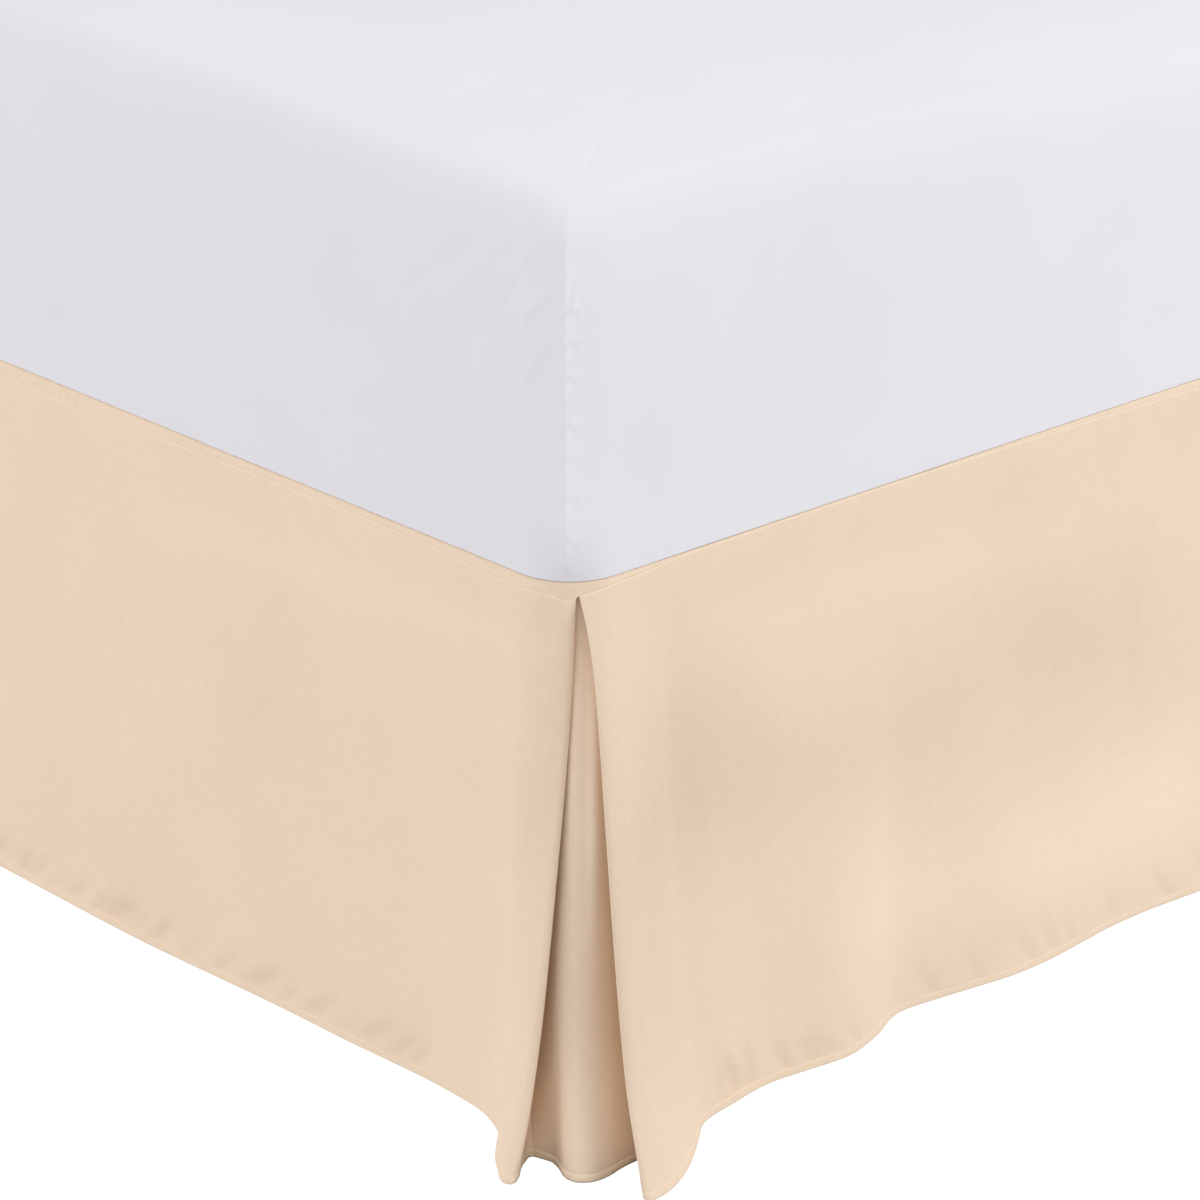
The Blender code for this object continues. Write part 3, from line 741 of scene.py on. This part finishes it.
def mattress_rings():
    """Rings from the bottom to the middle of the top: distance out, height, shrink."""
    heights = [0.0042, 0.0056, 0.0074, *np.linspace(0.0096, MATTRESS_HEIGHT - TOP_RADIUS, 104)]
    return [
        *[(BOTTOM_RADIUS * (math.cos(turn) - 1), BOTTOM_RADIUS * (1 + math.sin(turn)), 1.0)
          for turn in np.linspace(-math.pi / 2, 0, 6)],
        *[(0.0, height, 1.0) for height in heights],
        *[(TOP_RADIUS * (math.cos(turn) - 1), MATTRESS_HEIGHT - TOP_RADIUS * (1 - math.sin(turn)), 1.0)
          for turn in np.linspace(0, math.pi / 2, 11)[1:]],
        *[(-TOP_RADIUS, MATTRESS_HEIGHT, shrink) for shrink in TOP_SHRINKS],
    ]


outline = outline_path()
rings = mattress_rings()
print("mattress outline", len(outline), "places,", len(rings), "rings")

# %% [markdown]
# The sheet's own folds: the corner seam is a sharp line, with small slanting puckers near its
# top, like the bones of a fish, and single ones further down. A few long wrinkles run from the
# top corner down the left face. The rest has faint dents, for which smooth noise is enough.

# %% Folds of the fitted sheet
# Place along from the seam, height, half length, half width, lean, height of the ridge.
SHEET_WRINKLES = (
    (-30, 214, 30, 4, 130, 1.6), (-44, 196, 34, 4.5, 125, -1.4), (-22, 182, 26, 3.5, 128, 1.2),
    (-58, 222, 36, 6, 140, 1.2), (-18, 150, 20, 3, 120, 0.9), (-90, 205, 50, 9, 150, -1),
    (-36, 60, 30, 5, 70, 0.6), (-70, 150, 45, 8, 110, 0.8), (-28, 235, 24, 4, 118, 0.9),
)
SEAM_PUCKERS = (
    (2.6, 191, 2.4, 2.6, 15, 1.6), (2.8, 185, 2.6, 2.4, 25, -1.8), (2.4, 169, 2.2, 2.6, 10, 1.5),
    (2.8, 163, 2.8, 2.4, 25, -1.7), (2.2, 146, 2.2, 2.6, 15, 1.5), (2.4, 140, 2.6, 2.4, 30, -1.6),
    (2.2, 114, 2.2, 2.6, 10, 1.4), (2.4, 108, 2.4, 2.4, 20, -1.5), (2, 93, 2, 2.6, 15, 1.2),
    (2.2, 87, 2.4, 2.4, 15, -1.4), (2.4, 66, 2.4, 2.8, 20, 1.5), (2.6, 59, 2.6, 2.6, 25, -1.6),
    (2, 33, 2, 2.6, 10, 1.2), (2.2, 27, 2.2, 2.4, 18, -1.3),
)
# All in millimetres: the seam's ridge and its half width, the bones' height, half width and
# spacing, and how deep the tables' rows and the dents are.
SEAM_RIDGE, RIDGE_HALF = 1.2, 6.0
BONE_HEIGHT, BONE_HALF, BONE_PITCH = 1.0, 5.0, 7.5
WRINKLE_SHARE, PUCKER_SHARE, DENT_DEPTH = 1.2, 1.15, 1.1


def sheet_relief(along, height, x, y):
    """How far the sheet stands out from the mattress's smooth side, in millimetres, for a ring."""
    from_seam = np.abs(along)
    close = np.exp(-(along / BONE_HALF) ** 2) * (1 - np.exp(-(along / 1.2) ** 2))
    high = np.clip((height - 160) / 20, 0, 1) * np.clip((250 - height) / 25, 0, 1)
    pitch = BONE_PITCH + np.sin(height / 31.0)
    bones = np.sin((height - from_seam * 1.6) * 2 * math.pi / pitch + 0.6 * np.sign(along))
    relief = SEAM_RIDGE * np.exp(-from_seam / RIDGE_HALF) + BONE_HEIGHT * bones * close * high
    relief += WRINKLE_SHARE * soft_forms(along, height, SHEET_WRINKLES)
    relief += PUCKER_SHARE * soft_forms(along, height, SEAM_PUCKERS)
    dents = [noise.noise(Vector((a * 9, b * 9, height * 0.011)))
             + 0.5 * noise.noise(Vector((a * 23, b * 23, height * 0.026))) for a, b in zip(x, y)]
    return relief + DENT_DEPTH * np.array(dents)


def edge_rise(x, y):
    """How far the soft top edge stands above its even height, in metres, round the outline."""
    foot = read_curve(FOOT_EDGE_RISE, (SIDE_PLANE - x) / MM)
    side = read_curve(RIGHT_EDGE_RISE, (y - FOOT_PLANE) / MM)
    near_foot = np.exp(-np.maximum(0.0, y - FOOT_PLANE) / 0.35)
    near_side = np.exp(-np.maximum(0.0, SIDE_PLANE - x) / 0.35)
    return (foot * near_foot**2 + side * near_side**2) / (near_foot + near_side) * MM


def ring_places(out, height, shrink):
    """Places of one ring of the mattress."""
    x, y, out_x, out_y, along = outline.T
    share = height / MATTRESS_HEIGHT
    rise = edge_rise(x, y) * share * share
    if shrink == 1.0:
        high = height / MM
        sharp = min(1.0, max(0.0, (high - 3) / 40)) * min(1.0, max(0.0, (250 - high) / 40))
        turned = 1 / np.maximum(np.abs(out_x), np.abs(out_y)) - 1
        reach = out + BULGE * min(1.0, (1 - share) * 5)
        pulled = SHARPNESS * CORNER_RADIUS * sharp * turned
        reach = reach + np.where(np.abs(along) < SHARP_HALF, pulled, 0.0)
        smooth = max(0.0, 1 + out / TOP_RADIUS) if share > 0.5 else min(1.0, height / 0.008)
        reach += sheet_relief(along / MM, height / MM, x, y) * MM * smooth
        level = MATTRESS_BOTTOM + height + rise
        return np.stack([x + out_x * reach, y + out_y * reach, level], axis=1)
    edge_x = (x + out_x * out) * shrink
    edge_y = BED_MIDDLE + (y + out_y * out - BED_MIDDLE) * shrink
    dents = np.array([noise.noise(Vector((a * 5, b * 5, 3.0))) for a, b in zip(edge_x, edge_y)])
    dents *= 1.2 * MM * (1 - shrink**12)
    along_bed = (edge_y - BED_MIDDLE) * 2 / BED_LENGTH
    crown = CROWN * (1 - (edge_x / SIDE_PLANE) ** 6) * (1 - along_bed**6)
    top = MATTRESS_BOTTOM + height + rise * shrink**6 + crown * min(1.0, (1 - shrink) * 20) + dents
    return np.stack([edge_x, edge_y, top], axis=1)


# %% Coil the mattress ring by ring
shape = bmesh.new()
ring_verts = bmesh.ops.create_circle(shape, segments=len(outline), radius=1.0)["verts"]
ring_edges = shape.edges[:]
first_ring = ring_edges[:]
seam = int(np.argmin(np.abs(outline[:, 4])))
for level, ring in enumerate(rings):
    if level:
        made = bmesh.ops.extrude_edge_only(shape, edges=ring_edges)["geom"]
        ring_edges = [g for g in made if isinstance(g, bmesh.types.BMEdge) and g.is_boundary]
        fresh = set(g for g in made if isinstance(g, bmesh.types.BMVert))
        below_verts = ring_verts
        ring_verts = [next(e.other_vert(v) for e in v.link_edges if e.other_vert(v) in fresh)
                      for v in ring_verts]
        # The corner seam is a sharp line up the side.
        if SEAM_LOW < ring[1] < SEAM_HIGH:
            shape.edges.get((below_verts[seam], ring_verts[seam])).smooth = False
    for vert, place in zip(ring_verts, ring_places(*ring)):
        vert.co = place
bmesh.ops.edgeloop_fill(shape, edges=ring_edges)
bmesh.ops.edgeloop_fill(shape, edges=first_ring)
bmesh.ops.recalc_face_normals(shape, faces=shape.faces[:])
mattress = add_piece("mattress_in_fitted_sheet", shape)
print("mattress faces", len(mattress.data.polygons))

# %% [markdown]
# The box spring is a wooden box with a ticking cover. A cloth tape binds its upper and lower
# edges, so the cover is a rounded box with two loops cut near each edge and swelled outwards.

# %% Box spring cover
BOX_HEIGHT = 0.2286
BOX_TOP = DECK_TOP - 0.0012 - 0.0003
BOX_INSET = 0.004
EDGE_LOOPS = (0.012, 0.016, 0.020, 0.022)


def bevel(shape, edges, width, segments):
    bmesh.ops.bevel(shape, geom=edges, offset=width, offset_type="OFFSET", affect="EDGES",
                    segments=segments, profile=0.5, material=-1, clamp_overlap=True)


shape = bmesh.new()
bmesh.ops.create_cube(shape, size=1.0)
size = Vector((2 * (SIDE_PLANE - BOX_INSET) - 0.004, BED_LENGTH - 2 * BOX_INSET - 0.004, BOX_HEIGHT))
bmesh.ops.scale(shape, vec=size, verts=shape.verts[:])
bmesh.ops.translate(shape, vec=(0, BED_MIDDLE, BOX_TOP - BOX_HEIGHT / 2), verts=shape.verts[:])
bevel(shape, [e for e in shape.edges if abs(e.verts[0].co.z - e.verts[1].co.z) > 0.1],
      CORNER_RADIUS - BOX_INSET, 8)
bevel(shape, [e for e in shape.edges if abs(e.verts[0].co.z - e.verts[1].co.z) < 1e-6], 0.006, 4)
cuts = [BOX_TOP - drop for drop in EDGE_LOOPS]
cuts += [BOX_TOP - BOX_HEIGHT + drop for drop in EDGE_LOOPS]
cuts += [BOX_TOP - BOX_HEIGHT * share for share in np.linspace(0.2, 0.8, 7)]
for height in cuts:
    bmesh.ops.bisect_plane(shape, geom=shape.verts[:] + shape.edges[:] + shape.faces[:],
                           plane_co=(0, 0, height), plane_no=(0, 0, 1))
for vert in shape.verts:
    near = min(BOX_TOP - vert.co.z, vert.co.z - BOX_TOP + BOX_HEIGHT)
    # The tape stands 1.6 mm proud, and the cover between the tapes lies 0.8 mm hollow.
    spread = (1.6 if 0.011 < near < 0.017 else 0.0 if near < 0.021 else -0.8) * MM / SIDE_PLANE
    vert.co.x *= 1 + spread
    vert.co.y = BED_MIDDLE + (vert.co.y - BED_MIDDLE) * (1 + spread)
bmesh.ops.recalc_face_normals(shape, faces=shape.faces[:])
box_spring = add_piece("box_spring_cover", shape)
print("box spring faces", len(box_spring.data.polygons))

# %% [markdown]
# Colours are written as the sRGB values that a picture shows, and one function turns them into
# the linear light that the renderer counts in. Small functions add the nodes, so that a
# material reads from top to bottom.

# %% Colour and node helpers
def linear(hex_code):
    """Linear RGBA from an sRGB hex code."""
    parts = [int(hex_code[i:i + 2], 16) / 255 for i in (1, 3, 5)]
    return (*[p / 12.92 if p <= 0.04045 else ((p + 0.055) / 1.055) ** 2.4 for p in parts], 1.0)


def add_node(tree, kind, **settings):
    """A node, with its properties set and its inputs set or linked; i3 stands for input 3."""
    node = tree.nodes.new("ShaderNode" + kind)
    for key, value in settings.items():
        if hasattr(node, key):
            setattr(node, key, value)
            continue
        socket = node.inputs[int(key[1:]) if key[1:].isdigit() else key.replace("_", " ")]
        if isinstance(value, bpy.types.NodeSocket):
            tree.links.new(value, socket)
        else:
            socket.default_value = value
    return node


def calculate(tree, operation, *values):
    """The result of a math node on numbers and on other nodes' results."""
    inputs = {f"i{place}": value for place, value in enumerate(values)}
    return add_node(tree, "Math", operation=operation, **inputs).outputs[0]


def object_noise(tree, scale, detail):
    """Soft noise through a whole piece, with its number of waves to the metre."""
    place = add_node(tree, "TexCoord").outputs["Object"]
    return add_node(tree, "TexNoise", Scale=scale, Detail=detail, Vector=place).outputs["Fac"]


def soft_step(tree, value, start, end, top=1.0):
    """0 before start, top after end, with a smooth step between them."""
    return add_node(tree, "MapRange", interpolation_type="SMOOTHSTEP", Value=value, From_Min=start,
                    From_Max=end, To_Max=top).outputs[0]


def blend(tree, share, first, second):
    """A colour between two, each a hex code or another node's result."""
    first, second = [linear(c) if isinstance(c, str) else c for c in (first, second)]
    return add_node(tree, "Mix", data_type="RGBA", i0=share, i6=first, i7=second).outputs[2]


def bump(tree, strength, distance, **links):
    """A surface normal tipped by a height, and laid on another normal if there is one."""
    return add_node(tree, "Bump", Strength=strength, Distance=distance, **links).outputs[0]


def new_material(name, roughness, **shader_settings):
    """A material with its Principled shader set, and its node tree."""
    material = bpy.data.materials.new(name)
    material.use_nodes = True
    shader = material.node_tree.nodes["Principled BSDF"]
    shader.inputs["Roughness"].default_value = roughness
    for key, value in shader_settings.items():
        shader.inputs[key.replace("_", " ")].default_value = value
    return material, material.node_tree, shader


def set_surface(tree, shader, colour, normal):
    tree.links.new(colour, shader.inputs["Base Color"])
    tree.links.new(normal, shader.inputs["Normal"])


print("the cloth's colour in linear light:", [round(c, 3) for c in linear("#E8D0B8")])

# %% [markdown]
# The skirt is a brushed microfibre: polyester woven very fine, then sanded to a short nap. It
# is matt, with a breath of sheen, and its weave is too fine to see. The nap lies unevenly, so
# the colour wanders by a few parts in a hundred over a hand's width.

# %% Brushed microfibre of the skirt
# The cloth's darkest and lightest tone, between which its random nap and the painted light and shade
# move it.
DARK_NAP_AND_PAINTED_SHADE, LIGHT_NAP_AND_PAINTED_LIGHT, THREAD_AND_HIGHLIGHT = "#DCC4AB", "#FBE4CB", "#FDE7CF"
# Waves to the metre: patches 90 mm across, brush marks of 6 mm, and a grain of 1.7 mm that
# stands for threads 0.1 mm apart.
NAP_PATCHES, BRUSH_MARKS, GRAIN = 11.0, 170.0, 600.0
# How far noise moves the tone from dark to light, where its middle lies, and how far the listed
# painted light and shade move it.
WANDER, MIDDLE_TONE, PAINTED_LIGHT_STRENGTH = 0.464, 0.478, 0.29
# Distance from the edge and half width in millimetres, and length of a stitch in metres. The
# thread is lighter than the cloth as a painted highlight, and the seam's light line is partly
# stitching and partly the painted highlight of the turned edge.
HEM_STITCHES_AND_HIGHLIGHT = (HEM_STITCH, 0.5, 0.0029)
SEAM_STITCHES_AND_HIGHLIGHT = (1.0, 0.7, 0.0026)


def stitch_line(tree, along, distance, place, half_width, pitch):
    """A mask that is 1 on the stitches of a line at a distance from an edge."""
    off = calculate(tree, "ABSOLUTE", calculate(tree, "SUBTRACT", distance, place))
    line = soft_step(tree, off, half_width, half_width * 0.4)
    wave = calculate(tree, "SINE", calculate(tree, "MULTIPLY", along, 2 * math.pi / pitch))
    return calculate(tree, "MULTIPLY", line, soft_step(tree, wave, -0.75, -0.35))


def microfibre(name):
    material, tree, shader = new_material(name, 0.92, Sheen_Weight=0.06, Sheen_Roughness=0.5,
                                          Specular_IOR_Level=0.25)
    cloth = add_node(tree, "UVMap", uv_map="cloth").outputs[0]
    along = add_node(tree, "SeparateXYZ", i0=cloth).outputs[0]
    above, below, painted_light_share = [add_node(tree, "Attribute", attribute_name=key).outputs["Fac"]
                         for key in ("above_hem", "below_seam", "painted_light_and_shade")]
    patches = object_noise(tree, NAP_PATCHES, 2.0)
    marks = object_noise(tree, BRUSH_MARKS, 3.0)
    mixed = add_node(tree, "Mix", data_type="FLOAT", i0=0.5, i2=patches, i3=marks).outputs[0]
    wander = calculate(tree, "MULTIPLY_ADD", mixed, WANDER, MIDDLE_TONE)
    # The panels' painted light and shade moves the tone as well.
    share = calculate(tree, "MULTIPLY_ADD", painted_light_share, PAINTED_LIGHT_STRENGTH, wander)
    stitches_and_highlight = calculate(tree, "ADD", stitch_line(tree, along, above, *HEM_STITCHES_AND_HIGHLIGHT),
                     stitch_line(tree, along, below, *SEAM_STITCHES_AND_HIGHLIGHT))
    # The stitch lines are thread with a painted highlight, laid over the tone.
    colour = blend(tree, stitches_and_highlight, blend(tree, share, DARK_NAP_AND_PAINTED_SHADE, LIGHT_NAP_AND_PAINTED_LIGHT), THREAD_AND_HIGHLIGHT)
    rough = bump(tree, 0.45, 0.00008, Height=object_noise(tree, GRAIN, 2.0))
    set_surface(tree, shader, colour, bump(tree, 0.4, 0.0001, Height=stitches_and_highlight, Normal=rough))
    return material


skirt_cloth = microfibre("brushed_microfibre")
for piece in (foot_panel, side_panel_left, side_panel_right, deck_cloth):
    piece.data.materials.append(skirt_cloth)
print("skirt cloth nodes", len(skirt_cloth.node_tree.nodes))

# %% [markdown]
# The fitted sheet is a plain woven cotton and polyester, washed and white with a cold cast.
# Its threads show only as a faint tooth. The ticking of the box spring is a coarser weave.

# %% Woven sheet and ticking
def woven(name, base, light, thread, strength, patch_scale):
    material, tree, shader = new_material(name, 0.9, Specular_IOR_Level=0.25, Sheen_Weight=0.03)
    colour = blend(tree, object_noise(tree, patch_scale, 3.0), base, light)
    place = add_node(tree, "TexCoord").outputs["Object"]
    threads = []
    for turn, bands in ((0.0, "Z"), (math.pi / 2, "X")):
        turned = add_node(tree, "Mapping", Rotation=(turn, 0.0, turn), Vector=place).outputs[0]
        threads.append(add_node(tree, "TexWave", Scale=0.314 / thread, Distortion=1.2, Detail=1.0,
                                bands_direction=bands, Vector=turned).outputs["Fac"])
    tooth = bump(tree, strength, thread * 0.06, Height=calculate(tree, "MULTIPLY", *threads))
    set_surface(tree, shader, colour, tooth)
    return material


# Threads 0.25 mm apart on the sheet and 0.8 mm on the ticking, both drawn three times coarser.
mattress.data.materials.append(woven("percale_fitted_sheet", "#E4E3E8", "#EAE9EE", 0.0008, 0.15, 7.0))
box_spring.data.materials.append(woven("box_spring_ticking", "#D9D8D6", "#E4E3E0", 0.0024, 0.5, 5.0))
print("woven materials made")

# %% [markdown]
# The steel frame is dipped in dark brown enamel and baked, which flows over the edges and dries
# with a faint orange peel. The glides are moulded plastic with a fine spark-eroded grain.

# %% Enamelled steel and moulded plastic
def fine_surface(name, base, light, roughness, ior, pattern, strength):
    material, tree, shader = new_material(name, roughness, IOR=ior)
    grain = object_noise(tree, 1 / pattern, 4.0)
    colour = blend(tree, grain, base, light)
    set_surface(tree, shader, colour, bump(tree, strength, 0.0001, Height=grain))
    return material


enamel = fine_surface("baked_enamel_on_steel", "#4A403A", "#544941", 0.38, 1.5, 0.004, 0.3)
plastic = fine_surface("moulded_plastic_glide", "#2A2A2B", "#333334", 0.5, 1.46, 0.0012, 0.4)
finished = 0
for name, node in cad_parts.items():
    for start, finish in (("rail", enamel), ("cross", enamel), ("leg", enamel), ("glide", plastic)):
        if name.startswith(start):
            finished += 1
            for slot in node.material_slots:
                slot.material = finish
print("carried-over nodes with a finish:", finished)

# %% [markdown]
# The studio is a white floor in a white surround. Three large soft lights face the corner of the
# bed, one from high up and one from each side. A dark card under the bed keeps the floor's light
# from shining through under the skirt, as the things stored there would. The floor glows
# slightly, as a paper sweep lit from below does.

# %% Floor, surround and lights
FLOOR_GLOW = 1.1
GROUND_LIGHT, CEILING_LIGHT = 0.98, 0.84
WHITE = (1.0, 1.0, 1.0, 1.0)
# Behind the photographer the studio is darker: the way there, and by how much.
FRONT, FRONT_SHADE = (0.743, -0.669, 0.0), 0.32


def studio_piece(name, shape, finish, colour, glow):
    """A dull piece of the studio, which may glow."""
    piece = add_piece(name, shape)
    piece.data.materials.append(new_material(
        finish, 0.9, Specular_IOR_Level=0.0, Base_Color=linear(colour), Emission_Color=WHITE,
        Emission_Strength=glow)[0])
    return piece


shape = bmesh.new()
bmesh.ops.create_grid(shape, x_segments=1, y_segments=1, size=30.0)
floor = studio_piece("floor", shape, "white_paper_sweep", "#404040", FLOOR_GLOW)
floor.location.z = -0.0005
floor.visible_diffuse = False

hem_line = [tuple(c[2:4]) for c in reversed(left_columns) if c[6] >= 1.5]
hem_line += [tuple(c[2:4]) for c in foot_columns + right_columns if c[6] >= 1.5]
shape = bmesh.new()
card_verts = bmesh.ops.create_circle(shape, segments=len(hem_line), radius=1.0, cap_ends=True)["verts"]
for vert, place in zip(card_verts, hem_line):
    vert.co = (*place, 0.0008)
card = studio_piece("shade_card_under_bed", shape, "black_card", "#3A3632", 0.0)
card.visible_camera = False

world = bpy.data.worlds.new("white_walls")
bpy.context.scene.world = world
world.use_nodes = True
sky = world.node_tree
direction = add_node(sky, "TexCoord").outputs["Generated"]
upwards = add_node(sky, "SeparateXYZ", i0=direction).outputs["Z"]
ceiling = soft_step(sky, upwards, 0.0, 0.5, CEILING_LIGHT)
ground = add_node(sky, "MapRange", Value=upwards, From_Min=-0.02, From_Max=0.02,
                  To_Min=GROUND_LIGHT, To_Max=0.0).outputs[0]
facing = add_node(sky, "VectorMath", operation="DOT_PRODUCT", i0=direction, i1=FRONT)
front = calculate(sky, "MAXIMUM", facing.outputs["Value"], 0.0)
front = calculate(sky, "POWER", front, 4.0)
front = calculate(sky, "MULTIPLY_ADD", front, -FRONT_SHADE, 1.0)
strength = calculate(sky, "MULTIPLY", calculate(sky, "ADD", ceiling, ground), front)
background = sky.nodes["Background"]
background.inputs["Color"].default_value = WHITE
sky.links.new(strength, background.inputs["Strength"])


def soft_light(name, place, size, power, colour=WHITE[:3]):
    """A large soft light that faces the corner of the bed."""
    data = bpy.data.lights.new(name, "AREA")
    data.color = colour
    data.shape = "RECTANGLE"
    data.size, data.size_y = size
    data.energy = power
    lamp = add_object(name, data)
    lamp.location = place
    lamp.rotation_euler = (Vector(CORNER) - Vector(place)).to_track_quat("-Z", "Y").to_euler()


CORNER = (SIDE_PLANE, FOOT_PLANE, 0.35)
soft_light("key", (3.02, -2.47, 4.59), (3.0, 2.4), 15.0)
soft_light("left", (-0.84, -4.13, 2.23), (2.0, 2.0), 35.0, (1.0, 0.96, 0.955))
soft_light("right", (3.65, 1.05, 2.23), (2.0, 2.0), 50.0)
bpy.context.scene.view_settings.view_transform = "Standard"
print("lights set")

# %% [markdown]
# Last, every piece is tied to the model's root body, and the CAD node that it stands for is
# hidden.

# %% Tie the pieces to the model
for piece, node, slot in (
    (foot_panel, "foot_panel", "skirt_cloth"), (side_panel_left, "side_panel_left", "skirt_cloth"),
    (side_panel_right, "side_panel_right", "skirt_cloth"), (deck_cloth, "deck", "skirt_cloth"),
    (mattress, "mattress", "fitted_sheet"), (box_spring, "box_spring", "ticking"),
):
    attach(piece, "root")
    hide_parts(node)
